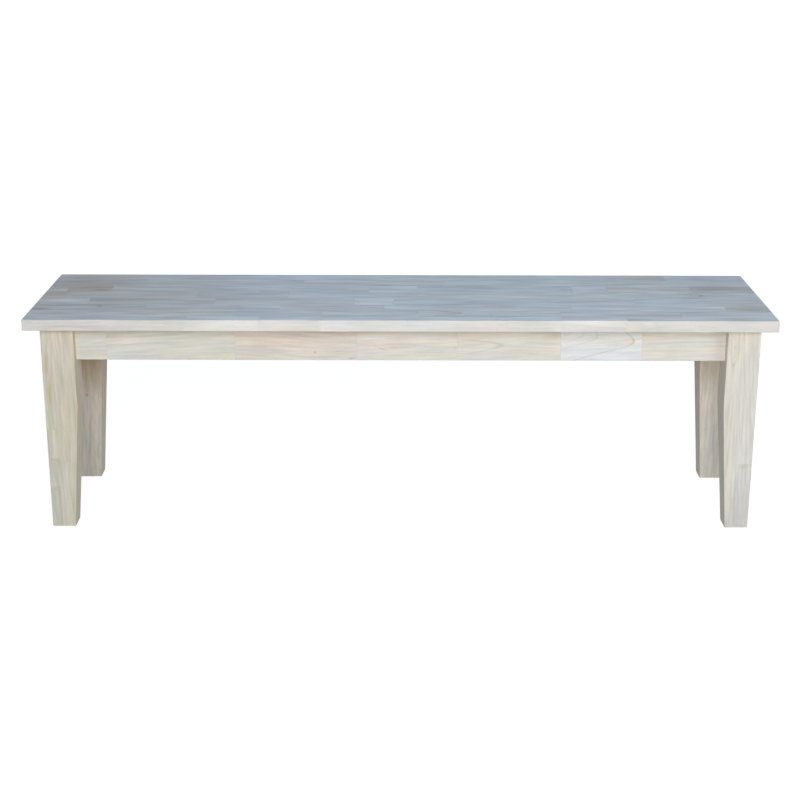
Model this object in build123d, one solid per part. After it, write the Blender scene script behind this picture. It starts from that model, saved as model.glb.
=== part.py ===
from build123d import *
import os
from math import cos, radians, sin, sqrt

# A plain bench with four tapered legs under an edge-glued seat board.
# Millimetres. The origin is on the floor under the middle of the bench,
# X runs along the bench to the right, Y to the back and Z up.

# Seat board
seat_length = 1524.0
seat_depth = 394.0
seat_height = 457.0
seat_thickness = 23.5
seat_edge_radius = 1.5

# Legs: square at the top, with a taper on the two inner faces only
leg_size = 67.0
foot_size = 48.0
taper_height = 262.0
leg_edge_radius = 1.5
end_overhang = 29.5
front_overhang = 25.0

# Aprons, centred on the thickness of the legs
apron_height = 74.0
apron_thickness = 22.0
apron_edge_radius = 1.5

# Corner blocks, keyed into grooves in the aprons behind each leg
leg_flat = 14.0
block_gap = 6.0
block_thickness = 22.0
block_height = 58.0
tongue_width = 6.0
tongue_depth = 6.0
tongue_setback = 11.0
block_edge_chamfer = 1.0

# Centre rail laid flat across the frame, housed in the long aprons
rail_width = 60.0
rail_thickness = 20.0
housing_depth = 6.0
rail_edge_chamfer = 1.0

# Hanger bolts with their washers and nuts, two to each leg
bolt_diameter = 8.0
bolt_in_leg = 38.0
bolt_past_nut = 5.0
bolt_spacing = 30.0
washer_diameter = 18.0
washer_thickness = 1.6
nut_across_flats = 13.0
nut_height = 6.5

# Pan-headed screws that hold the seat board down
screw_diameter = 4.0
screw_bite = 12.0
screw_head_diameter = 8.0
screw_head_height = 2.8
block_screw_offset = 24.0
rail_screw_share = (-0.62, 0.62)

# Fits: a sliding fit between glued parts, and the room in a bore
joint_clearance = 0.1
bore_clearance = 0.1
bolt_hole_clearance = 0.5
bore_overrun = 2.0
screw_bore_overrun = 1.0
cut_overrun = 1.0

# Worked out from the sizes above
underside = seat_height - seat_thickness
apron_bottom = underside - apron_height
corner_x = seat_length / 2 - end_overhang
corner_y = seat_depth / 2 - front_overhang
apron_setback = (leg_size - apron_thickness) / 2
inner_line = apron_setback + apron_thickness
flat_line = 2 * leg_size - leg_flat
block_outer_line = flat_line + block_gap * sqrt(2)
block_inner_line = block_outer_line + block_thickness * sqrt(2)
block_middle_line = (block_outer_line + block_inner_line) / 2
block_middle_height = underside - block_height / 2
block_end_inner = block_inner_line - inner_line
block_end_outer = block_outer_line - inner_line
tongue_line = block_end_inner - tongue_setback
block_screw_length = block_height + screw_bite
rail_screw_length = rail_thickness + screw_bite
long_apron_length = 2 * (corner_x - leg_size)
end_apron_length = 2 * (corner_y - leg_size)
rail_length = 2 * (corner_y - inner_line + housing_depth - joint_clearance)

# What stands at a leg is modelled at the front left one, with its origin at the
# leg's outer corner and X and Y leading inwards. The pieces at the four legs are
# alike, so a quarter turn brings one to the next corner.
corner_frames = {
    "front_left": Pos(-corner_x, -corner_y, 0),
    "front_right": Pos(corner_x, -corner_y, 0) * Rot(0, 0, 90),
    "back_right": Pos(corner_x, corner_y, 0) * Rot(0, 0, 180),
    "back_left": Pos(-corner_x, corner_y, 0) * Rot(0, 0, 270),
}


# Round bar along a plane's normal, from one distance to another
def round_bar(plane, diameter, start, end):
    circle = Plane(plane.location * Pos(0, 0, start)) * Circle(diameter / 2)
    return extrude(circle, end - start, dir=plane.z_dir)


# A leg's square section with its long edges rounded, from the outer corner
def leg_section(size):
    return Pos(size / 2, size / 2, 0) * RectangleRounded(size, size, leg_edge_radius)


# The plane of one hanger bolt: on the leg's flat, its normal towards the middle
def bolt_plane(height):
    half = flat_line / 2
    return Plane(origin=(half, half, height), x_dir=(0, 0, 1), z_dir=(1, 1, 0))


def bolt_planes():
    reach = bolt_spacing / 2
    return [bolt_plane(block_middle_height + step) for step in (-reach, reach)]


# A screw's plane is where its head bears, and it points up. The one in a corner
# block stands beside the bolts.
def block_screw_plane():
    middle = block_middle_line / 2
    aside = block_screw_offset / sqrt(2)
    return Plane(origin=(middle + aside, middle - aside, underside - block_height))


def rail_screw_planes():
    places = [share * rail_length / 2 for share in rail_screw_share]
    return [Plane(origin=(0, place, underside - rail_thickness)) for place in places]


def screw_hole(plane, length):
    hole_diameter = screw_diameter + 2 * bore_clearance
    return round_bar(plane, hole_diameter, -cut_overrun, length + screw_bore_overrun)


# The holes of all the screws that reach the seat board, where they stand
def seat_screw_holes():
    block_hole = screw_hole(block_screw_plane(), block_screw_length)
    in_blocks = [frame * block_hole for frame in corner_frames.values()]
    return in_blocks + [screw_hole(plane, rail_screw_length) for plane in rail_screw_planes()]


# Two-face taper: the sections share the outer corner, so the outer faces stay
# upright and only the inner two draw in towards the foot.
def leg():
    square = Pos(0, 0, taper_height) * leg_section(leg_size)
    body = loft([leg_section(foot_size), square], ruled=True)
    body += extrude(square, underside - taper_height)
    # flat on the inner corner, behind the aprons, that faces the corner block
    flat_waste = make_face(
        Polyline(
            (leg_size - leg_flat, leg_size),
            (leg_size + leg_flat, leg_size + leg_flat),
            (leg_size, leg_size - leg_flat),
            close=True,
        )
    )
    body -= Pos(0, 0, apron_bottom) * extrude(flat_waste, apron_height + cut_overrun)
    bore = bolt_diameter + 2 * bore_clearance
    for plane in bolt_planes():
        body -= round_bar(plane, bore, -(bolt_in_leg + bore_overrun), cut_overrun)
    return body


def corner_block():
    outline = make_face(
        Polyline(
            (block_end_outer, inner_line),
            (block_end_inner, inner_line),
            (inner_line, block_end_inner),
            (inner_line, block_end_outer),
            close=True,
        )
    )
    body = Pos(0, 0, underside - block_height) * extrude(outline, block_height)
    lower_edges = body.faces().sort_by(Axis.Z)[0].edges().sort_by(SortBy.LENGTH)
    body = chamfer(lower_edges[-2:], block_edge_chamfer)
    front_tongue = Box(tongue_width, tongue_depth, block_height, align=(Align.CENTER, Align.MAX, Align.MAX))
    side_tongue = Box(tongue_depth, tongue_width, block_height, align=(Align.MAX, Align.CENTER, Align.MAX))
    body += Pos(tongue_line, inner_line, underside) * front_tongue
    body += Pos(inner_line, tongue_line, underside) * side_tongue
    bolt_hole = bolt_diameter + 2 * bolt_hole_clearance
    for plane in bolt_planes():
        body -= round_bar(plane, bolt_hole, 0, block_gap + block_thickness + cut_overrun)
    return body - screw_hole(block_screw_plane(), block_screw_length)


# Bolt with its wood end in the leg and its machine end past the nut
def hanger_bolt(plane):
    end = block_gap + block_thickness + washer_thickness + nut_height + bolt_past_nut
    return round_bar(plane, bolt_diameter, -bolt_in_leg, end)


def bolt_bore(plane):
    reach = block_gap + block_thickness + washer_thickness + nut_height + cut_overrun
    return round_bar(plane, bolt_diameter + 2 * bore_clearance, 0, reach)


def washer(plane):
    start = block_gap + block_thickness
    return round_bar(plane, washer_diameter, start, start + washer_thickness) - bolt_bore(plane)


def hex_nut(plane):
    start = block_gap + block_thickness + washer_thickness
    across_corners = nut_across_flats / cos(radians(30))
    hexagon = Plane(plane.location * Pos(0, 0, start)) * RegularPolygon(across_corners / 2, 6)
    return extrude(hexagon, nut_height, dir=plane.z_dir) - bolt_bore(plane)


def pan_head_screw(plane, length):
    shank = round_bar(plane, screw_diameter, 0, length)
    return shank + round_bar(plane, screw_head_diameter, -screw_head_height, 0)


def block_screw(plane):
    return pan_head_screw(plane, block_screw_length)


def rail_screw(plane):
    return pan_head_screw(plane, rail_screw_length)


# An apron lies along X with its outer face on Y = 0, its inner face behind and
# its top on Z = 0. The grooves near its ends take the corner blocks' tongues.
def apron(length):
    body = Box(length, apron_thickness, apron_height, align=(Align.CENTER, Align.MIN, Align.MAX))
    lower_edges = body.faces().sort_by(Axis.Z)[0].edges().filter_by(Axis.X)
    body = fillet(lower_edges, apron_edge_radius)
    groove = Box(
        tongue_width + 2 * joint_clearance,
        tongue_depth + joint_clearance,
        block_height,
        align=(Align.CENTER, Align.MAX, Align.MAX),
    )
    for side in (-1, 1):
        place = side * (length / 2 + leg_size - tongue_line)
        body -= Pos(place, apron_thickness, 0) * groove
    return body


def long_apron():
    housing = Box(
        rail_width + 2 * joint_clearance,
        housing_depth,
        rail_thickness,
        align=(Align.CENTER, Align.MAX, Align.MAX),
    )
    return apron(long_apron_length) - Pos(0, apron_thickness, 0) * housing


def end_apron():
    return apron(end_apron_length)


# Where each apron stands: the front and the back, then the left and right end
def apron_frames():
    front = Pos(0, apron_setback - corner_y, underside)
    left = Pos(apron_setback - corner_x, 0, underside) * Rot(0, 0, -90)
    turn = Rot(0, 0, 180)
    return {
        "front_apron": front,
        "back_apron": turn * front,
        "left_end_apron": left,
        "right_end_apron": turn * left,
    }


def centre_rail():
    body = Pos(0, 0, underside - rail_thickness / 2) * Box(rail_width, rail_length, rail_thickness)
    lower_edges = body.faces().sort_by(Axis.Z)[0].edges().filter_by(Axis.Y)
    body = chamfer(lower_edges, rail_edge_chamfer)
    for plane in rail_screw_planes():
        body -= screw_hole(plane, rail_screw_length)
    return body


def seat_board():
    body = Pos(0, 0, seat_height - seat_thickness / 2) * Box(seat_length, seat_depth, seat_thickness)
    body = fillet(body.edges().filter_by(Axis.Z, reverse=True), seat_edge_radius)
    for hole in seat_screw_holes():
        body -= hole
    return body


# The same piece at both legs on one side of the bench
def at_two_legs(side, make, planes):
    frames = [frame for name, frame in corner_frames.items() if name.startswith(side)]
    return Compound([frame * make(plane) for frame in frames for plane in planes])


def all_nodes():
    boards = {
        "front_apron": long_apron(),
        "back_apron": long_apron(),
        "left_end_apron": end_apron(),
        "right_end_apron": end_apron(),
    }
    nodes = {"seat_board": seat_board()}
    for name, frame in apron_frames().items():
        nodes[name] = frame * boards[name]
    nodes["centre_rail"] = centre_rail()
    one_leg = leg()
    one_block = corner_block()
    for corner, frame in corner_frames.items():
        nodes[f"{corner}_leg"] = frame * one_leg
        nodes[f"{corner}_corner_block"] = frame * one_block
    for side in ("front", "back"):
        nodes[f"{side}_hanger_bolts"] = at_two_legs(side, hanger_bolt, bolt_planes())
        nodes[f"{side}_washers"] = at_two_legs(side, washer, bolt_planes())
        nodes[f"{side}_hex_nuts"] = at_two_legs(side, hex_nut, bolt_planes())
        nodes[f"{side}_block_screws"] = at_two_legs(side, block_screw, [block_screw_plane()])
    nodes["rail_screws"] = Compound([rail_screw(plane) for plane in rail_screw_planes()])
    return nodes


os.makedirs("parts", exist_ok=True)
for name, shape in all_nodes().items():
    export_step(shape, f"parts/{name}.step")
    print(name, len(shape.solids()))
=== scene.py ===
import math
import random

import bmesh
import bpy
from mathutils import Matrix, Vector


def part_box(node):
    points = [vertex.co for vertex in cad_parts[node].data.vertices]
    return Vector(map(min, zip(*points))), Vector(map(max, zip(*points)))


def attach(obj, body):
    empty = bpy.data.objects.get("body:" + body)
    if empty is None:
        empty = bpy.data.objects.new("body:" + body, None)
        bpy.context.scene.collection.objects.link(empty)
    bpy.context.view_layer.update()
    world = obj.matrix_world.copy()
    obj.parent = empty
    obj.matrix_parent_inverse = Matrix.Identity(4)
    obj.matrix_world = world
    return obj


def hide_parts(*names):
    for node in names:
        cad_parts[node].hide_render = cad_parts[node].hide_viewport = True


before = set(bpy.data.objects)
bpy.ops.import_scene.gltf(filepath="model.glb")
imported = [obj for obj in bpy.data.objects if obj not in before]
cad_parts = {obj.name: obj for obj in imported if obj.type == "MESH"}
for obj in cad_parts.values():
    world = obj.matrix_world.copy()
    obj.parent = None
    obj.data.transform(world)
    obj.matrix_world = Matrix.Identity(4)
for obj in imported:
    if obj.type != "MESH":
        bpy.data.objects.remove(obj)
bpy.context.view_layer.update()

scene = bpy.context.scene
print("frame loaded:", len(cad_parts), "nodes")


# Shader maths

def addNode(tree, kind, settings=None, inputs=None, output=0):
    node = tree.nodes.new(kind)
    for name, value in (settings or {}).items():
        setattr(node, name, value)
    for name, value in (inputs or {}).items():
        if isinstance(value, Level):
            tree.links.new(value.socket, node.inputs[name])
        else:
            node.inputs[name].default_value = value
    return Level(tree, node.outputs[output]) if len(node.outputs) else node


# Wraps a socket, so that an expression on it adds its Math nodes
class Level:
    def __init__(self, tree, socket):
        self.tree = tree
        self.socket = socket

    def math(self, operation, *others):
        inputs = dict(enumerate((self, *others)))
        return addNode(self.tree, "ShaderNodeMath", {"operation": operation}, inputs)

    def __add__(self, other):
        return self.math("ADD", other)

    def __sub__(self, other):
        return self.math("SUBTRACT", other)

    def __rsub__(self, other):
        return addNode(self.tree, "ShaderNodeMath", {"operation": "SUBTRACT"}, {0: other, 1: self})

    def __mul__(self, other):
        return self.math("MULTIPLY", other)

    def __truediv__(self, other):
        return self.math("DIVIDE", other)

    def __pow__(self, other):
        return self.math("POWER", other)

    def __gt__(self, other):
        return self.math("GREATER_THAN", other)

    def __lt__(self, other):
        return self.math("LESS_THAN", other)

    def __abs__(self):
        return self.math("ABSOLUTE")

    __radd__ = __add__
    __rmul__ = __mul__


# A material's node tree, with the few kinds of node that the finishes here need
class Finish:
    def __init__(self, owner):
        self.material = bpy.data.materials.new(owner) if isinstance(owner, str) else owner
        self.material.use_nodes = True
        self.tree = self.material.node_tree
        self.tree.nodes.clear()

    def add(self, kind, settings=None, inputs=None, output=0):
        return addNode(self.tree, kind, settings, inputs, output)

    def vector(self, operation, *values):
        return self.add("ShaderNodeVectorMath", {"operation": operation}, dict(enumerate(values)))

    def dot(self, first, second):
        return self.add("ShaderNodeVectorMath", {"operation": "DOT_PRODUCT"}, {0: first, 1: second}, "Value")

    def scale(self, vector, factor):
        return self.add("ShaderNodeVectorMath", {"operation": "SCALE"}, {0: vector, "Scale": factor})

    def parts(self, vector):
        split = self.add("ShaderNodeSeparateXYZ", None, {0: vector})
        return [Level(self.tree, socket) for socket in split.socket.node.outputs]

    def join(self, x, y, z):
        return self.add("ShaderNodeCombineXYZ", None, {0: x, 1: y, 2: z})

    # A place with one count of waves to the metre along the grain and another across it
    def spaced(self, along, across, up, waves):
        lengthwise, sideways = waves
        return self.join(along * lengthwise, across * sideways, up * sideways)

    def mix(self, factor, first, second):
        return self.add("ShaderNodeMix", {"data_type": "RGBA"}, {0: factor, 6: first, 7: second}, 2)

    def choose(self, factor, first, second):
        return self.add("ShaderNodeMix", {"data_type": "VECTOR"}, {0: factor, 4: first, 5: second}, 1)

    def stainAndShade(self, colour, amount, stainAndShadeColour):
        return self.choose(amount, colour, self.vector("MULTIPLY", colour, stainAndShadeColour))

    def noise(self, vector, scale=1.0, detail=2.0, roughness=0.5, output=0):
        inputs = {"Vector": vector, "Scale": scale, "Detail": detail, "Roughness": roughness}
        return self.add("ShaderNodeTexNoise", None, inputs, output)

    # Three levels about zero that have nothing to do with each other, from the colour of one noise
    def threeNoises(self, vector, settings):
        return [part - 0.5 for part in self.parts(self.noise(vector, *settings, output="Color"))]

    def between(self, value, low, high, lowOut=0.0, highOut=1.0):
        inputs = {0: value, 1: low, 2: high, 3: lowOut, 4: highOut}
        return self.add("ShaderNodeMapRange", {"interpolation_type": "SMOOTHSTEP"}, inputs)

    def place(self):
        return self.add("ShaderNodeTexCoord", None, None, "Object")

    def finish(self, colour, roughness, height, bump, metallic=0.0, specular=0.5):
        inputs = {
            "Base Color": colour,
            "Roughness": roughness,
            "Metallic": metallic,
            "Specular IOR Level": specular,
            "Normal": self.add("ShaderNodeBump", None, {"Distance": bump, "Height": height}),
        }
        shader = self.add("ShaderNodeBsdfPrincipled", None, inputs)
        self.add("ShaderNodeOutputMaterial", None, {"Surface": shader})
        return self.material


# Wood: what all the boards share, the tints of the strips they are glued up from, the stains on them and a
# painted shade

wood = {
    "colour": (0.76, 0.665, 0.555),
    "endGrain": 0.80,  # brightness of an end face
    "edgeCalm": 0.45,  # share of the streaks and patches that an edge face loses
    "edgeFade": 0.80,  # share of the marks that it loses
    "faceTurn": (0.5, 0.9),  # how squarely a face looks along an axis before it counts as an end or edge
    "ringColour": (0.70, 0.60, 0.50),
    "poreColour": (0.70, 0.60, 0.50),
    "warmth": (0.10, 0.005, -0.12),
    "lilac": (0.045, -0.055, 0.045),
    "streakHue": 0.6,  # hue changes this much from streak to streak, against 1 from patch to patch
    "streakDepth": 0.60,
    "patchDepth": 0.45,
    "fineDepth": 0.12,
    "poreDepth": 0.35,
    "jointDepth": 0.10,
    "roughness": 0.66,
    "roughnessChange": 0.3,
    "specular": 0.2,
    "bump": 0.00012,
    "fingerLength": 0.008,
    "fingerPitch": 0.0058,
    "jointWidth": 0.0006,
}

# The figure of the grain. A noise is its waves to the metre across the grain, its detail and its roughness.
# A stretch is how many waves there are along the grain for one across. Waves alone are along, then across.
# Levels are where a noise starts to show and where it is full.
grain = {
    "ownShift": 37.0,  # moves each strip's figure away from its neighbours'
    "wander": 0.016,
    "wanderWaves": (4.0, 13.0),
    "streakNoise": (165.0, 3.0, 0.6),
    "streakStretch": 0.065,
    "patchNoise": (42.0, 2.0, 0.5),
    "patchStretch": 0.15,
    "fineNoise": (480.0, 2.0, 0.5),
    "poreNoise": (1100.0, 1.0, 0.5),
    "poreStretch": 0.10,
    "poreLevels": (0.64, 0.74),
    "pitLevels": (0.62, 0.74),
    "bumpStretch": 0.05,
    "ringWander": 0.006,
    "ringWaves": 75.0,
    "ringUneven": 1.4,  # in rings
    "ringRise": (0.55, 0.95),
    "ringFall": (1.0, 0.96),
    "faintWaves": (3.5, 26.0),
    "faintLevels": (0.34, 0.66),
    "faintLeast": 0.1,
}

# What each strip's own figure is drawn from, in metres where it is a length
drawn = {
    "tint": (0.985, 1.015),
    "insideShare": 0.3,  # strips whose pith line passes inside the board or close to it
    "pithInside": (-0.02, 0.06),
    "pithOutside": (0.07, 0.18),
    "centre": (-0.4, 0.5),
    "slope": (0.03, 0.08),
    "tilt": (-0.06, 0.06),
    "strength": (0.06, 0.26),
    "spacing": (0.004, 0.009),
    "length": (0.12, 0.42),
    "shortestEnd": 0.04,
}

# How marks and arches lie on the wood, in mm where it is a length
markings = {
    "markEdge": (1.15, 0.25),  # where a mark starts and where it is full, as shares of its half sizes
    "markSway": 2.5,  # with the wander of the grain, in half widths
    "mostSway": 8.0,
    "archSway": 22.0,
    "archFade": 15.0,
    "archCore": 0.3,  # share of a line's width that is full
}

stock = {
    "plain": (1.00, 1.00, 1.00),
    "white": (1.03, 1.09, 1.16),
    "bright": (1.04, 1.05, 1.06),
    "cream": (1.01, 1.00, 0.96),
    "moss": (0.98, 1.00, 0.98),
    "pink": (1.00, 0.975, 0.97),
    "grey": (0.96, 0.965, 0.98),
    "tan": (0.97, 0.94, 0.89),
    "brown": (0.92, 0.865, 0.845),
}
commonStock = ("plain", "plain", "plain", "cream", "moss", "pink", "grey", "bright", "tan")
stainsAndShade = {
    "umber": (0.62, 0.56, 0.52),
    "line": (0.71, 0.68, 0.63),
    "brown": (0.84, 0.74, 0.66),
    "olive": (0.90, 0.85, 0.74),
    "gold": (0.95, 0.86, 0.69),
    "orange": (1.00, 0.92, 0.84),
    "rust": (0.82, 0.70, 0.52),
    "straw": (1.00, 1.00, 0.92),
    "grey": (0.88, 0.88, 0.90),
    # painted shade: a darker, warmer colour for the ends of the seat, where less lamp light falls
    "paintedShade": (0.86, 0.775, 0.71),
    "lilac": (1.02, 1.01, 1.08),
    "frost": (1.06, 1.10, 1.16),
    "sky": (1.02, 1.07, 1.15),
    "pale": (1.08, 1.09, 1.08),
}
rowStep = 10.0  # the rows of a board lie end to end on one line, this far apart


# One strip of wood from its start along its row. Its growth rings lie round a pith line, which passes the
# board at its centre, leans away from there by its slope and drifts across by its tilt.
def strip(row, start, look, rng, own=None):
    jitter = rng.uniform(*drawn["tint"])
    if rng.random() < drawn["insideShare"]:
        across = rng.uniform(*drawn["pithInside"])
    else:
        across = rng.choice((-1, 1)) * rng.uniform(*drawn["pithOutside"])
    figure = {
        "centre": start + rng.uniform(*drawn["centre"]),
        "across": across,
        "slope": rng.choice((-1, 1)) * rng.uniform(*drawn["slope"]),
        "tilt": rng.uniform(*drawn["tilt"]),
        "strength": rng.uniform(*drawn["strength"]),
        "spacing": rng.uniform(*drawn["spacing"]),
    }
    figure.update(own or {})
    return {
        "start": rowStep * row + start,
        "tint": [channel * jitter for channel in stock[look]],
        "pith": [figure[key] for key in ("across", "centre", "slope")],
        "figure": [figure[key] for key in ("strength", "spacing", "tilt")],
    }


# One row of strips of any length and tint
def randomStrips(length, seed):
    rng = random.Random(seed)
    strips = []
    start = 0.0
    while start < length - drawn["shortestEnd"]:
        strips.append(strip(0, start, rng.choice(commonStock), rng))
        start += rng.uniform(*drawn["length"])
    return strips


# Rows of strips, each with its start in mm, its stock and, where it is given, its own figure
def chosenStrips(rows, seed):
    rng = random.Random(seed)
    return [strip(row, cut[0] / 1000, cut[1], rng, *cut[2:]) for row, cuts in enumerate(rows) for cut in cuts]


def inMetres(places):
    return [place / 1000 for place in places]


# Wood made up of strips. The axes run along the grain, across the rows and up through the board.
# The depth says how plain its streaks, patches and changes of hue are.
def stripWood(name, origin, axes, edges, strips, marks=(), arches=(), tone=(1, 1, 1), depth=(1, 1, 1)):
    nodes = Finish(name)
    place = nodes.vector("SUBTRACT", nodes.place(), origin)
    along, across, up = (nodes.dot(place, axis) for axis in axes)
    halfJoint = wood["jointWidth"] / 2
    row = glue = 0.0
    for edge in edges:
        row = (across > edge) + row
        glue = across.math("COMPARE", edge, halfJoint) + glue
    fingerSlope = 2 * wood["fingerLength"] / wood["fingerPitch"]
    fingers = up.math("PINGPONG", wood["fingerPitch"] / 2) * fingerSlope
    cut = along + fingers - wood["fingerLength"] / 2 + row * rowStep
    chain = {key: strips[0][key] for key in ("tint", "pith", "figure")}
    for after in strips[1:]:
        past = cut > after["start"]
        chain = {key: nodes.choose(past, value, after[key]) for key, value in chain.items()}
        glue = cut.math("COMPARE", after["start"], halfJoint) + glue
    pithAcross, centre, slope = nodes.parts(chain["pith"])
    strength, spacing, tilt = nodes.parts(chain["figure"])

    # the grain of each strip leans its own way and wanders
    fromCentre = along - centre
    alongOwn = along + centre * grain["ownShift"]
    wander = nodes.noise(nodes.spaced(alongOwn, across, up, grain["wanderWaves"]), detail=1.0) - 0.5
    drift = across - fromCentre * tilt + wander * grain["wander"]
    streaks = nodes.join(alongOwn * grain["streakStretch"], drift, up)
    streak = nodes.threeNoises(streaks, grain["streakNoise"])
    patch = nodes.threeNoises(nodes.join(alongOwn * grain["patchStretch"], drift, up), grain["patchNoise"])
    fine = nodes.noise(streaks, *grain["fineNoise"]) - 0.5

    # growth rings, unevenly spaced and faint in places
    side = drift - pithAcross
    below = up + slope * fromCentre
    radius = (side * side + below * below) ** 0.5 + wander * grain["ringWander"]
    uneven = nodes.noise(nodes.join(radius * grain["ringWaves"], centre, 0.0)) * grain["ringUneven"]
    ring = (radius / spacing + uneven).math("FRACT")
    faint = nodes.noise(nodes.spaced(alongOwn, drift, up, grain["faintWaves"]))
    faint = nodes.between(faint, *grain["faintLevels"], grain["faintLeast"], 1.0)
    ringLine = nodes.between(ring, *grain["ringRise"]) * nodes.between(ring, *grain["ringFall"]) * faint

    pores = nodes.noise(nodes.join(alongOwn * grain["poreStretch"], drift, up), *grain["poreNoise"])
    pore = nodes.between(pores, *grain["poreLevels"])
    normal = nodes.add("ShaderNodeTexCoord", None, None, "Normal")
    endFace, edgeFace = (nodes.between(abs(nodes.dot(normal, axis)), *wood["faceTurn"]) for axis in axes[:2])
    streakDepth, patchDepth, hueDepth = depth
    figure = streak[0] * (wood["streakDepth"] * streakDepth) + patch[0] * (wood["patchDepth"] * patchDepth)
    calm = 1.0 - edgeFace * wood["edgeCalm"]
    shade = (fine * wood["fineDepth"] + 1.0) * (1.0 - endFace * (1 - wood["endGrain"]))
    shade = shade * (figure * calm + 1.0)
    shade = shade * (1.0 - glue * wood["jointDepth"])

    colour = nodes.vector("MULTIPLY", chain["tint"], [part * own for part, own in zip(wood["colour"], tone)])
    hue = (1, 1, 1)
    for key, part in (("warmth", 1), ("lilac", 2)):
        change = [channel * hueDepth for channel in wood[key]]
        hue = nodes.vector("ADD", nodes.scale(change, streak[part] * wood["streakHue"] + patch[part]), hue)
    colour = nodes.vector("MULTIPLY", colour, hue)
    colour = nodes.stainAndShade(colour, ringLine * strength, wood["ringColour"])
    colour = nodes.stainAndShade(colour, pore * wood["poreDepth"], wood["poreColour"])
    shown = 1.0 - edgeFace * wood["edgeFade"]
    for mark in marks:
        colour = addMark(nodes, colour, along, across, wander, shown, *mark)
    for arch in arches:
        colour = addArch(nodes, colour, along, across, wander, arch)
    colour = nodes.scale(colour, shade)

    surface = nodes.join(along * grain["bumpStretch"], across, up)
    pits = nodes.between(nodes.noise(surface, *grain["poreNoise"]), *grain["pitLevels"])
    height = nodes.noise(surface, *grain["fineNoise"]) - pits
    roughness = fine * wood["roughnessChange"] + wood["roughness"]
    return nodes.finish(colour, roughness, height, wood["bump"], specular=wood["specular"])


# A knot, streak, pale patch or patch of painted shade: its place along and across and its half sizes in mm,
# its turn in degrees, how strong it is and its stain or its painted shade. It is soft at its edge.
def addMark(nodes, colour, along, across, wander, shown, x, y, halfLength, halfWidth, turn, strength, stainAndShade):
    cos, sin = math.cos(math.radians(turn)), math.sin(math.radians(turn))
    sway = min(markings["mostSway"], markings["markSway"] * halfWidth)
    x = along * 1000.0 - x
    y = across * 1000.0 + wander * sway - y
    length = x * (cos / halfLength) + y * (sin / halfLength)
    width = y * (cos / halfWidth) - x * (sin / halfWidth)
    reach = (length * length + width * width) ** 0.5
    amount = nodes.between(reach, *markings["markEdge"]) * strength * shown
    return nodes.stainAndShade(colour, amount, stainsAndShade[stainAndShade])


# Arch-shaped ring lines that point along the grain, all in mm. The nest gives how far behind the first tip
# each line's own tip is, and how plain the line is.
def addArch(nodes, colour, along, across, wander, arch):
    turn = math.radians(arch.get("turn", 0.0))
    along = along * 1000.0
    fromTip = along - arch["tip"]
    side = across * 1000.0 + wander * markings["archSway"] - arch["across"]
    ahead = fromTip * math.cos(turn) - side * math.sin(turn)
    side = side * math.cos(turn) + fromTip * math.sin(turn)
    front = (side * side + arch["bend"] ** 2) ** 0.5 + ahead * arch["lean"] - arch["bend"]
    first, last = arch["reach"]
    kept = nodes.between(along, first, first + markings["archFade"]) * (along < last)
    core = arch["width"] * markings["archCore"]
    lines = 0.0
    for behind, share in arch["nest"]:
        away = abs(front + behind * abs(arch["lean"]))
        lines = nodes.between(away, arch["width"], core) * share + lines
    return nodes.stainAndShade(colour, lines * kept * arch["strength"], stainsAndShade[arch["stainAndShade"]])


def clothe(node, material):
    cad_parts[node].material_slots[0].material = material


xAxis, yAxis, zAxis = Vector((1, 0, 0)), Vector((0, 1, 0)), Vector((0, 0, 1))


# Seat board: eight rows, counted from the back edge, with where they meet and each strip's start from the
# left end in mm

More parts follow.
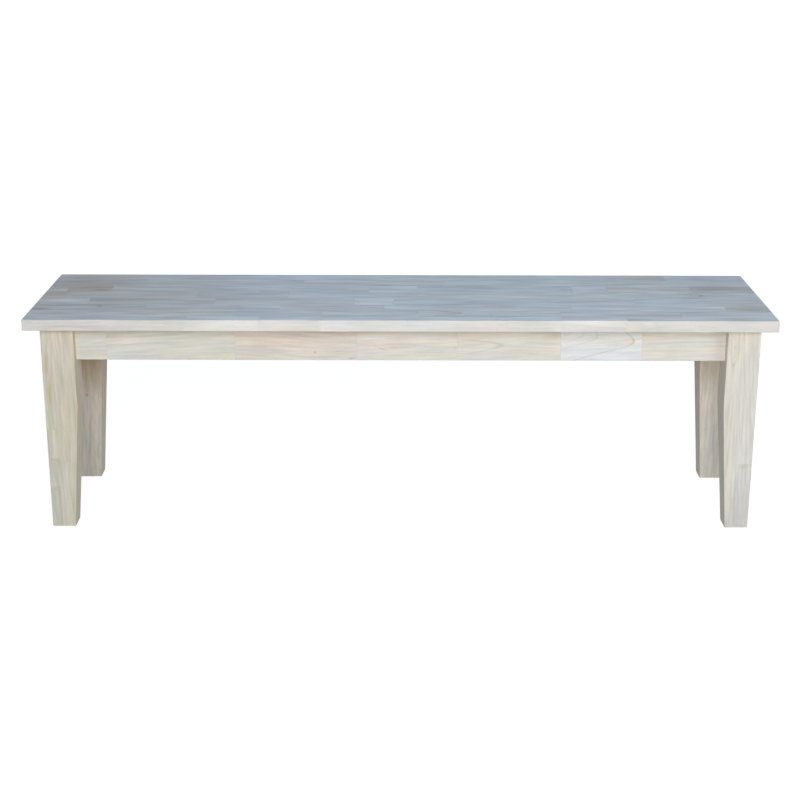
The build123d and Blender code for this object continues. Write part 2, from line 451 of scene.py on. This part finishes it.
seat = {
    "seed": 11,
    "depth": (1.0, 1.5, 1.35),
    "meet": (48, 106, 161, 214, 267, 319, 367),
    "rows": (
        (
            (0, "plain"), (250, "grey"), (485, "plain"), (830, "cream"), (1062, "plain"), (1250, "brown"),
            (1345, "grey"),
        ),
        ((0, "grey"), (200, "plain"), (545, "pink"), (850, "plain"), (1195, "cream"), (1345, "plain")),
        (
            (0, "plain"), (40, "brown"), (135, "bright"), (455, "plain"), (690, "bright"), (795, "grey"),
            (1130, "plain"), (1205, "tan"), (1385, "brown"),
        ),
        (
            (0, "tan"), (50, "plain"), (325, "grey"), (520, "plain"), (795, "cream"), (1260, "plain"),
            (1405, "grey"),
        ),
        ((0, "bright"), (105, "grey"), (370, "plain"), (662, "bright"), (745, "grey"), (1250, "plain")),
        ((0, "grey"), (232, "plain"), (510, "pink"), (725, "plain"), (1113, "bright"), (1430, "tan")),
        (
            (0, "plain"), (230, "cream"), (425, "grey"), (600, "plain"), (795, "cream"), (888, "plain"),
            (1085, "pink"), (1330, "plain"),
        ),
        (
            (0, "grey"), (325, "bright"), (475, "plain"), (600, "bright"), (958, "bright"), (1085, "bright"),
            (1216, "plain"),
        ),
    ),
    "marks": (
        (95, 128, 48, 16, 0, 0.55, "brown"),
        (118, 144, 22, 9, 0, 0.60, "umber"),
        (168, 110, 36, 7, 0, 0.55, "sky"),
        (130, 30, 60, 14, 0, 0.40, "olive"),
        (52, 240, 60, 14, 0, 0.50, "pale"),
        (50, 277, 80, 5, 0, 0.50, "umber"),
        (138, 283, 9, 8, 0, 0.60, "umber"),
        (195, 308, 45, 6, 0, 0.60, "frost"),
        (10, 309, 45, 12, 0, 0.60, "umber"),
        # painted shade: the left third of the seat darker, most at its back corner, and the right end a
        # little, where less lamp light falls
        (0, 170, 560, 310, 0, 0.85, "paintedShade"),
        (70, 80, 130, 60, 0, 0.45, "paintedShade"),
        (1524, 150, 260, 260, 0, 0.30, "paintedShade"),
        (405, 116, 62, 6, 0, 0.60, "sky"),
        (547, 69, 9, 6, 0, 0.60, "grey"),
        (520, 66, 25, 3, 0, 0.50, "grey"),
        (385, 222, 25, 4, 0, 0.50, "umber"),
        (395, 377, 75, 9, 0, 0.50, "pale"),
        (862, 67, 15, 5, 0, 0.50, "pale"),
        (1298, 34, 50, 12, 0, 0.45, "olive"),
        (1230, 91, 42, 12, 0, 0.50, "olive"),
        (1440, 134, 60, 12, 0, 0.50, "olive"),
        (1205, 145, 5, 4, 0, 0.60, "umber"),
        (1319, 256, 70, 5, 0, 0.70, "frost"),
        (1157, 299, 36, 10, 0, 0.65, "sky"),
        (850, 336, 26, 7, 0, 0.35, "brown"),
        (893, 334, 6, 10, 0, 0.50, "pale"),
        (946, 349, 5, 4, 0, 0.60, "umber"),
        (1020, 372, 65, 9, 0, 0.50, "sky"),
        (1455, 304, 55, 3, 0, 0.50, "umber"),
    ),
    "arches": (
        {
            "tip": 1404, "across": 187, "lean": 0.50, "bend": 12.0, "width": 2.5, "strength": 0.6,
            "stainAndShade": "umber", "nest": ((0, 1.0), (22, 0.5)), "reach": (1350, 1420),
        },
        {
            "tip": 885, "across": 334, "lean": 0.35, "bend": 7.0, "width": 2.0, "strength": 0.6,
            "stainAndShade": "umber", "nest": ((0, 1.0), (12, 0.6)), "reach": (820, 895),
        },
    ),
}
low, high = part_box("seat_board")
seatWood = stripWood(
    "seatWood",
    (low.x, high.y, low.z),
    (xAxis, -yAxis, zAxis),
    inMetres(seat["meet"]),
    chosenStrips(seat["rows"], seat["seed"]),
    seat["marks"],
    seat["arches"],
    depth=seat["depth"],
)
clothe("seat_board", seatWood)
print("seat board finished")


# Front apron: one strip high, with each strip's start from the left end in mm

frontApron = {
    "seed": 5,
    "depth": (0.80, 0.60, 1.35),
    "row": (
        (0, "moss"),
        (59, "moss"),
        (322, "pink"),
        (572, "plain"),
        (778, "plain"),
        (990, "white", {"strength": 0.10}),
        (1156, "plain"),
    ),
    "marks": (
        (37, 36, 32, 3, 11, 0.60, "frost"),
        (310, 30, 6, 40, 0, 0.50, "straw"),
        (345, 22, 30, 1.5, 0, 0.35, "brown"),
        (374, 30, 22, 1.6, 0, 0.45, "brown"),
        (400, 15, 40, 1.5, 4, 0.35, "brown"),
        (490, 17.6, 4, 3, 0, 0.60, "umber"),
        (539, 20, 30, 1.3, 13, 0.40, "line"),
        (548, 8, 30, 7, 13, 0.50, "pale"),
        (566, 4, 8, 2.5, 10, 0.50, "umber"),
        (620, 47, 46, 10, 0, 0.70, "sky"),
        (626, 25.4, 22, 1.3, -22, 0.50, "line"),
        (650, 28.6, 12, 4, 0, 0.70, "orange"),
        (712, 31, 15, 9, 0, 0.50, "lilac"),
        (730, 9, 100, 5, 0, 0.70, "straw"),
        (777, 28.9, 3, 9, 0, 0.50, "grey"),
        (978, 50, 26, 11, 0, 0.40, "gold"),
        (1040, 22, 40, 12, 0, 0.50, "lilac"),
        (1106, 8, 62, 11, 5, 0.50, "frost"),
        (1135, 43, 14, 11, 0, 0.60, "orange"),
        (1141, 43, 5, 6, 0, 0.35, "brown"),
        (1204, 27.8, 18, 8, 0, 0.50, "sky"),
    ),
    "arches": (
        {
            "tip": 1143.3, "across": 42.6, "turn": 10, "lean": 0.48, "bend": 11.0, "width": 1.6,
            "strength": 0.60, "stainAndShade": "line", "reach": (988, 1156),
            "nest": ((0, 1.0), (76, 0.60), (105, 0.50), (130, 0.45)),
        },
        {
            "tip": 871.6, "across": 28.8, "lean": 0.12, "bend": 14.0, "width": 1.3, "strength": 0.45,
            "stainAndShade": "line", "nest": ((0, 1.0),), "reach": (800, 900),
        },
    ),
}
low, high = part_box("front_apron")
frontApronWood = stripWood(
    "frontApronWood",
    low,
    (xAxis, zAxis, yAxis),
    (),
    chosenStrips([frontApron["row"]], frontApron["seed"]),
    frontApron["marks"],
    frontApron["arches"],
    depth=frontApron["depth"],
)
clothe("front_apron", frontApronWood)


# The other aprons

hiddenAprons = {
    "back_apron": {"finish": "backApronWood", "lengthwise": xAxis, "through": yAxis, "seed": 21},
    "left_end_apron": {"finish": "leftApronWood", "lengthwise": yAxis, "through": xAxis, "seed": 31},
    "right_end_apron": {"finish": "rightApronWood", "lengthwise": yAxis, "through": xAxis, "seed": 32},
}
for node, apron in hiddenAprons.items():
    low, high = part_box(node)
    axes = (apron["lengthwise"], zAxis, apron["through"])
    strips = randomStrips((high - low).dot(apron["lengthwise"]), apron["seed"])
    clothe(node, stripWood(apron["finish"], low, axes, (), strips))
print("aprons finished")


# Legs: layers glued side by side, where they meet and each strip's start from the floor, both in mm

legs = {
    "front_left": {
        "seed": 40,
        "tone": (0.935, 0.92, 0.825),
        "depth": (0.95, 0.8, 1.6),
        "meet": (22, 45),
        "layers": (
            ((0, "grey"), (85, "grey"), (148, "plain"), (211, "plain")),
            ((0, "plain"), (139, "pink")),
            ((0, "plain"), (139, "pink")),
        ),
        "marks": (
            (355, 9.5, 30, 5, 7, 1.00, "gold"),
            (293, 13.5, 36, 5.5, -3, 1.00, "gold"),
            (180, 11, 40, 12, 0, 0.90, "sky"),
            (235, 34, 150, 60, 0, 0.18, "rust"),
            (148, 12, 3, 8, 15, 0.60, "olive"),
            (82, 12, 3, 7, 15, 0.60, "olive"),
            (40, 58, 40, 2, 0, 0.50, "olive"),
            (50, 48, 50, 3, 0, 0.40, "brown"),
            (330, 50, 60, 4, 0, 0.40, "lilac"),
        ),
    },
    "front_right": {
        "seed": 41,
        "tone": (0.99, 0.99, 0.96),
        "depth": (0.9, 0.6, 1.0),
        "meet": (34,),
        "layers": (
            ((0, "plain"),),
            ((0, "grey"), (138, "plain")),
        ),
        "marks": (
            (358, 13, 8, 4, 0, 0.60, "orange"),
            (138, 50, 7, 20, 0, 0.30, "brown"),
            (0, 34, 120, 70, 0, 0.60, "grey"),
            (145, 31, 80, 2.2, 1.5, 0.60, "frost"),
            (260, 14, 70, 12, 0, 0.60, "straw"),
        ),
        "arches": (
            {
                "tip": 356, "across": 14, "lean": -0.22, "bend": 3.0, "width": 0.9, "strength": 0.35,
                "stainAndShade": "line", "nest": ((0, 1.0), (18, 0.7), (38, 0.6), (56, 0.6)), "reach": (300, 460),
            },
        ),
    },
    "back_left": {
        "seed": 42,
        "tone": (0.96, 0.92, 0.85),
        "meet": (34,),
        "layers": (
            ((0, "plain"),),
            ((0, "plain"),),
        ),
        "marks": (
            (320, 40, 120, 60, 0, 0.90, "rust"),
            (90, 12, 130, 12, 0, 0.60, "frost"),
            (225, 30, 45, 3, 0, 0.60, "brown"),
            (200, 29, 5, 4, 0, 0.60, "umber"),
            (60, 45, 30, 2, 0, 0.60, "brown"),
            (70, 25, 55, 8, 0, 0.40, "lilac"),
        ),
    },
    "back_right": {
        "seed": 43,
        "tone": (1.00, 0.96, 0.91),
        "meet": (34,),
        "layers": (
            ((0, "plain"),),
            ((0, "plain"),),
        ),
        "marks": (
            (310, 25, 100, 50, 0, 0.40, "rust"),
            (40, 34, 150, 60, 0, 0.60, "frost"),
            (200, 10, 60, 3, 0, 0.30, "brown"),
        ),
    },
}
for corner, leg in legs.items():
    node = f"{corner}_leg"
    low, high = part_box(node)
    strips = chosenStrips(leg["layers"], leg["seed"])
    looks = leg["marks"], leg.get("arches", ()), leg["tone"], leg.get("depth", (1, 1, 1))
    axes = (zAxis, xAxis, yAxis)
    clothe(node, stripWood(f"{corner}LegWood", low, axes, inMetres(leg["meet"]), strips, *looks))
print("legs finished")


# Corner blocks and rail: each is sawn out of one strip, which starts well before it, and not as pale

sawn = {
    "strip": (-2000, "tan"),
    "blockSeeds": {"front_left": 60, "front_right": 61, "back_left": 62, "back_right": 63},
    "railSeed": 70,
}
diagonal = 0.5 ** 0.5
for corner, seed in sawn["blockSeeds"].items():
    node = f"{corner}_corner_block"
    low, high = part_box(node)
    turn = 1 if corner in ("front_left", "back_right") else -1
    lengthwise = Vector((diagonal, -turn * diagonal, 0))
    through = Vector((diagonal, turn * diagonal, 0))
    block = chosenStrips([[sawn["strip"]]], seed)
    clothe(node, stripWood(f"{corner}BlockWood", low, (lengthwise, zAxis, through), (), block))
low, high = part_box("centre_rail")
rail = chosenStrips([[sawn["strip"]]], sawn["railSeed"])
clothe("centre_rail", stripWood("railWood", low, (yAxis, xAxis, zAxis), (), rail))
print("blocks and rail finished")


# Hardware under the seat, with its sizes in mm and its angles in degrees. Each piece is turned about the
# axis of the solid it stands for.

hardware = {
    "bolt": {
        "radius": 4.0,
        "tip": 6.0,
        "tipShare": 0.3,
        "woodThread": 34.0,
        "woodPitch": 3.0,
        "woodDepth": 1.0,
        "woodRings": 6,  # rings of the mesh in one turn of the thread
        "collar": 8.0,
        "pitch": 1.25,
        "depth": 0.65,
        "rings": 5,
        "runIn": 0.2,
        "chamfer": 0.8,
    },
    "washer": {"bore": 4.1, "radius": 9.0, "bevel": 0.3},
    "nut": {"bore": 4.1, "flats": 13.0, "shoulder": 6.2, "bevel": 0.4, "slope": 30.0, "lip": 0.05},
    "screw": {
        "radius": 2.0,
        "headRadius": 4.0,
        "headHeight": 2.8,
        "headRound": ((0.25, 0.7), (0.7, 0.25), (1.3, 0.0)),  # how far down and how far in
        "faceRings": (0.15, 0.5, 0.8, 1.2, 1.6, 2.0, 2.3, 2.7),
        "recessReach": 2.05,
        "recessWidth": 0.55,
        "recessDepth": 1.4,
        "recessRise": 0.15,  # share of the depth lost with each mm from the axis
        "thread": 34.0,
        "pitch": 1.8,
        "depth": 0.55,
        "rings": 5,
        "runIn": 0.3,
        "tip": 5.0,
        "tipShare": 0.1,
        "tipFlat": 0.2,
        "point": 0.1,
    },
}
ridgeCurve = 0.8  # under 1 makes a thread's ridge sharper
creaseAngle = 35.0
sameSpot = 0.000001


# The separate solids of a node. A solid's axis points up, or level towards the middle of the bench.
def solidsOf(node, upright):
    copy = bmesh.new()
    copy.from_mesh(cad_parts[node].data)
    bmesh.ops.remove_doubles(copy, verts=copy.verts, dist=sameSpot)
    seen = set()
    solids = []
    for first in copy.verts:
        if first in seen:
            continue
        seen.add(first)
        grown = [first]
        for vert in grown:
            for edge in vert.link_edges:
                other = edge.other_vert(vert)
                if other not in seen:
                    seen.add(other)
                    grown.append(other)
        spans = [(min(part), max(part)) for part in zip(*(vert.co for vert in grown))]
        middle = Vector([(low + high) / 2 for low, high in spans])
        inwards = Vector((-math.copysign(1, middle.x), -math.copysign(1, middle.y), 0)).normalized()
        axis = zAxis if upright else inwards
        reach = [(vert.co - middle).dot(axis) for vert in grown]
        solids.append({"start": middle + axis * min(reach), "axis": axis, "length": max(reach) - min(reach)})
    copy.free()
    return solids


# A profile gives the points at one angle round the axis, as distances along it and radii, all in mm
def turnedMesh(name, solids, profile, steps, closed):
    points, faces = [], []
    for solid in solids:
        axis = solid["axis"]
        side = xAxis if axis == zAxis else zAxis
        other = axis.cross(side)
        base = len(points)
        for step in range(steps):
            angle = 2 * math.pi * step / steps
            outwards = side * math.cos(angle) + other * math.sin(angle)
            line = profile(angle, solid["length"] * 1000)
            points += [solid["start"] + axis * (z / 1000) + outwards * (radius / 1000) for z, radius in line]
        count = len(line)
        for step in range(steps):
            here, there = base + step * count, base + (step + 1) % steps * count
            for low in range(count if closed else count - 1):
                high = (low + 1) % count
                faces.append((here + low, there + low, there + high, here + high))
        if not closed:
            faces.append([base + step * count for step in range(steps)])
            faces.append([base + step * count + count - 1 for step in range(steps)])
    mesh = bpy.data.meshes.new(name)
    mesh.from_pydata(points, [], faces)
    tidy = bmesh.new()
    tidy.from_mesh(mesh)
    bmesh.ops.recalc_face_normals(tidy, faces=tidy.faces)
    for face in tidy.faces:
        face.smooth = True
    tidy.to_mesh(mesh)
    tidy.free()
    mesh.set_sharp_from_angle(angle=math.radians(creaseAngle))
    return mesh


# Depth of a thread's groove at one place: none on the ridge, all of it half a turn on
def groove(z, angle, pitch, depth):
    phase = (z / pitch - angle / (2 * math.pi)) % 1
    return depth * abs(2 * phase - 1) ** ridgeCurve


# Evenly spaced places, the first included and the last not
def spread(first, last, gap):
    count = max(1, round((last - first) / gap))
    return [first + (last - first) * share / count for share in range(count)]


# How thick a pointed end is, as a share of the whole, this far from its tip
def pointed(away, piece):
    return min(1.0, piece["tipShare"] + (1 - piece["tipShare"]) * away / piece["tip"])


# Wood thread with a blunt point, a plain collar, then a thread for the nut
def boltProfile(angle, length):
    bolt = hardware["bolt"]
    collarEnd = bolt["woodThread"] + bolt["collar"]
    line = []
    for z in spread(0.0, bolt["woodThread"], bolt["woodPitch"] / bolt["woodRings"]):
        radius = bolt["radius"] - groove(z, angle, bolt["woodPitch"], bolt["woodDepth"])
        line.append((z, radius * pointed(z, bolt)))
    collar = bolt["radius"] - bolt["depth"] / 2
    line += [(bolt["woodThread"], collar), (collarEnd, collar)]
    for z in spread(collarEnd + bolt["runIn"], length, bolt["pitch"] / bolt["rings"]):
        cut = max(0.0, z - length + bolt["chamfer"])
        line.append((z, bolt["radius"] - max(cut, groove(z, angle, bolt["pitch"], bolt["depth"]))))
    return line + [(length, bolt["radius"] - bolt["chamfer"])]


def washerProfile(angle, length):
    bore, radius, bevel = (hardware["washer"][key] for key in ("bore", "radius", "bevel"))
    return [
        (0, bore), (0, radius - bevel), (bevel, radius),
        (length - bevel, radius), (length, radius - bevel), (length, bore),
    ]


# Six flats, with the corners cut off at a slope at both ends
def nutProfile(angle, length):
    nut = hardware["nut"]
    sixth = math.pi / 3
    radius = nut["flats"] / 2 / math.cos(angle % sixth - sixth / 2)
    drop = max(0.0, radius - nut["shoulder"]) * math.tan(math.radians(nut["slope"])) + nut["lip"]
    mouth = nut["bore"] + nut["bevel"]
    return [
        (nut["bevel"], nut["bore"]), (0, mouth), (0, nut["shoulder"]), (drop, radius),
        (length - drop, radius), (length, nut["shoulder"]), (length, mouth),
        (length - nut["bevel"], nut["bore"]),
    ]


# Pan head with a cross recess, a plain shank, then a thread that runs out in a point
def screwProfile(angle, length):
    screw = hardware["screw"]
    line = []
    for radius in screw["faceRings"]:
        x, y = abs(radius * math.cos(angle)), abs(radius * math.sin(angle))
        inside = min(x, y) < screw["recessWidth"] and max(x, y) < screw["recessReach"]
        line.append((screw["recessDepth"] * (1 - screw["recessRise"] * radius) if inside else 0.0, radius))
    head = screw["headRadius"]
    line += [(down, head - inwards) for down, inwards in screw["headRound"]]
    line.append((screw["headHeight"], head))
    shank = screw["radius"] - screw["depth"] / 2
    threadStart = length - screw["thread"]
    line += [(screw["headHeight"], shank), (threadStart, shank)]
    for z in spread(threadStart + screw["runIn"], length - screw["tipFlat"], screw["pitch"] / screw["rings"]):
        radius = screw["radius"] - groove(z, angle, screw["pitch"], screw["depth"])
        line.append((z, radius * pointed(length - z, screw)))
    return line + [(length, screw["point"])]


# Plated steel: zinc for bolts, washers and nuts, yellow zinc for screws

plated = {
    "zinc": ((0.50, 0.52, 0.55), (0.70, 0.72, 0.74)),
    "yellow": ((0.60, 0.44, 0.19), (0.76, 0.65, 0.38)),
    "cloudNoise": (110.0, 3.0),
    "cloudLevels": (0.3, 0.7),
    "scratchNoise": (1400.0, 2.0),
    "scratchBump": 0.00003,
    "roughness": 0.22,
    "roughnessChange": 0.24,
}


def plating(name, dark, light):
    nodes = Finish(name)
    cloud = nodes.noise(nodes.place(), *plated["cloudNoise"])
    scratches = nodes.noise(nodes.place(), *plated["scratchNoise"])
    colour = nodes.mix(nodes.between(cloud, *plated["cloudLevels"]), (*dark, 1), (*light, 1))
    roughness = cloud * plated["roughnessChange"] + plated["roughness"]
    return nodes.finish(colour, roughness, scratches, plated["scratchBump"], metallic=1.0)


def addHardware(name, node, profile, metal, steps, upright=False, closed=False):
    mesh = turnedMesh(name, solidsOf(node, upright), profile, steps, closed)
    mesh.materials.append(metal["material"])
    piece = bpy.data.objects.new(name, mesh)
    scene.collection.objects.link(piece)
    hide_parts(node)
    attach(piece, "root")


zinc = {"material": plating("zincPlating", *plated["zinc"]), "slot": "zinc_steel"}
yellowZinc = {"material": plating("yellowPlating", *plated["yellow"]), "slot": "screw_steel"}
for side in ("front", "back"):
    addHardware(f"{side}HangerBolts", f"{side}_hanger_bolts", boltProfile, zinc, 16)
    addHardware(f"{side}Washers", f"{side}_washers", washerProfile, zinc, 40, closed=True)
    addHardware(f"{side}HexNuts", f"{side}_hex_nuts", nutProfile, zinc, 48, closed=True)
    addHardware(f"{side}BlockScrews", f"{side}_block_screws", screwProfile, yellowZinc, 32, upright=True)
addHardware("railScrews", "rail_screws", screwProfile, yellowZinc, 32, upright=True)
print("hardware made")


# Studio: a pale floor that keeps the shadow, a white background and soft lamps

studio = {
    "skyColour": (0.312, 0.525, 0.855),
    "skyHorizon": 0.20,
    "floorSize": 80.0,
    "floorBounce": (0.595, 0.495, 0.38, 1),
    "floorShown": (0.59, 0.475, 0.41, 1),
    "floorGlow": (0.80, 0.775, 0.76, 1),
    "glowNear": 1.3,
    "glowFar": 4.0,
    "lampAim": (0.0, 0.0, 0.35),
    "lamps": {
        "key": {"place": (0.0, -3.2, 1.42), "size": 1.6, "power": 74.5, "colour": (0.87, 0.925, 1.0)},
        "right": {"place": (2.6, -2.0, 0.9), "size": 1.6, "power": 23.0, "colour": (0.84, 0.93, 1.0)},
        "back": {"place": (0.0, 4.0, 0.8), "size": 1.6, "power": 26.0, "colour": (1.0, 0.93, 0.86)},
    },
}


# How much of a ray is one of those that see the studio as plain white
def seenFactor(nodes):
    kinds = ("Is Camera Ray", "Is Glossy Ray", "Is Transmission Ray")
    camera, glossy, glass = (nodes.add("ShaderNodeLightPath", None, None, kind) for kind in kinds)
    return (camera + glossy).math("MAXIMUM", glass)


def makeFloor():
    floorMesh = bpy.data.meshes.new("floor")
    half = studio["floorSize"] / 2
    corners = [(-half, -half, 0), (half, -half, 0), (half, half, 0), (-half, half, 0)]
    floorMesh.from_pydata(corners, [], [(0, 1, 2, 3)])
    floor = bpy.data.objects.new("floor", floorMesh)
    scene.collection.objects.link(floor)
    nodes = Finish("floorWhite")
    distance = nodes.add("ShaderNodeVectorMath", {"operation": "LENGTH"}, {0: nodes.place()}, "Value")
    outwards = nodes.between(distance, studio["glowNear"], studio["glowFar"])
    glowColour = nodes.mix(outwards, studio["floorGlow"], (1, 1, 1, 1))
    bounce = nodes.add("ShaderNodeBsdfDiffuse", None, {"Color": studio["floorBounce"]})
    shown = nodes.add("ShaderNodeBsdfDiffuse", None, {"Color": studio["floorShown"]})
    glow = nodes.add("ShaderNodeEmission", None, {"Color": glowColour})
    both = nodes.add("ShaderNodeAddShader", None, {0: shown, 1: glow})
    mixed = nodes.add("ShaderNodeMixShader", None, {0: seenFactor(nodes), 1: bounce, 2: both})
    nodes.add("ShaderNodeOutputMaterial", None, {"Surface": mixed})
    floorMesh.materials.append(nodes.material)


# The sky is brighter overhead than at the horizon
def makeSky():
    world = bpy.data.worlds.new("studio")
    world.use_nodes = True
    nodes = Finish(world)
    towards = nodes.parts(nodes.add("ShaderNodeTexCoord", None, None, "Generated"))
    level = towards[2].math("MAXIMUM", 0.0) * (1 - studio["skyHorizon"]) + studio["skyHorizon"]
    colour = nodes.mix(seenFactor(nodes), nodes.scale(studio["skyColour"], level), (1, 1, 1, 1))
    background = nodes.add("ShaderNodeBackground", None, {"Color": colour})
    nodes.add("ShaderNodeOutputWorld", None, {"Surface": background})
    scene.world = world


def makeLamp(name, lamp):
    data = bpy.data.lights.new(name, "AREA")
    data.size = lamp["size"]
    data.energy = lamp["power"]
    data.color = lamp["colour"]
    lampObject = bpy.data.objects.new(name, data)
    lampObject.location = lamp["place"]
    towards = Vector(studio["lampAim"]) - Vector(lamp["place"])
    lampObject.rotation_euler = towards.to_track_quat("-Z", "Y").to_euler()
    lampObject.visible_glossy = False
    lampObject.visible_camera = False
    scene.collection.objects.link(lampObject)


makeFloor()
makeSky()
for name, lamp in studio["lamps"].items():
    makeLamp(name, lamp)
print("studio lit")


# Camera: the one that the straight edges in the photo give, if its optical centre is mid frame

camera = {
    "focalPixels": 1579.0,
    "framePixels": 800.0,
    "sensor": 36.0,
    "pitch": math.radians(17.95),
    "yaw": math.radians(-0.105),
    "roll": math.radians(0.102),
    "place": (0.005, -3.261, 1.282),
    "clipEnd": 200,
}


def makeCamera():
    data = bpy.data.cameras.new("camera")
    data.sensor_width = camera["sensor"]
    data.lens = camera["focalPixels"] * camera["sensor"] / camera["framePixels"]
    data.clip_end = camera["clipEnd"]
    eye = bpy.data.objects.new("camera", data)
    yaw, pitch, roll = camera["yaw"], camera["pitch"], camera["roll"]
    forward = Vector((math.sin(yaw) * math.cos(pitch), math.cos(yaw) * math.cos(pitch), -math.sin(pitch)))
    right = Vector((math.cos(yaw), -math.sin(yaw), 0))
    up = right.cross(forward)
    rolledRight = right * math.cos(roll) + up * math.sin(roll)
    rolledUp = up * math.cos(roll) - right * math.sin(roll)
    turned = Matrix((rolledRight, rolledUp, -forward)).transposed()
    eye.matrix_world = Matrix.Translation(camera["place"]) @ turned.to_4x4()
    scene.collection.objects.link(eye)
    scene.camera = eye


makeCamera()
scene.view_settings.view_transform = "Standard"
print("camera placed")
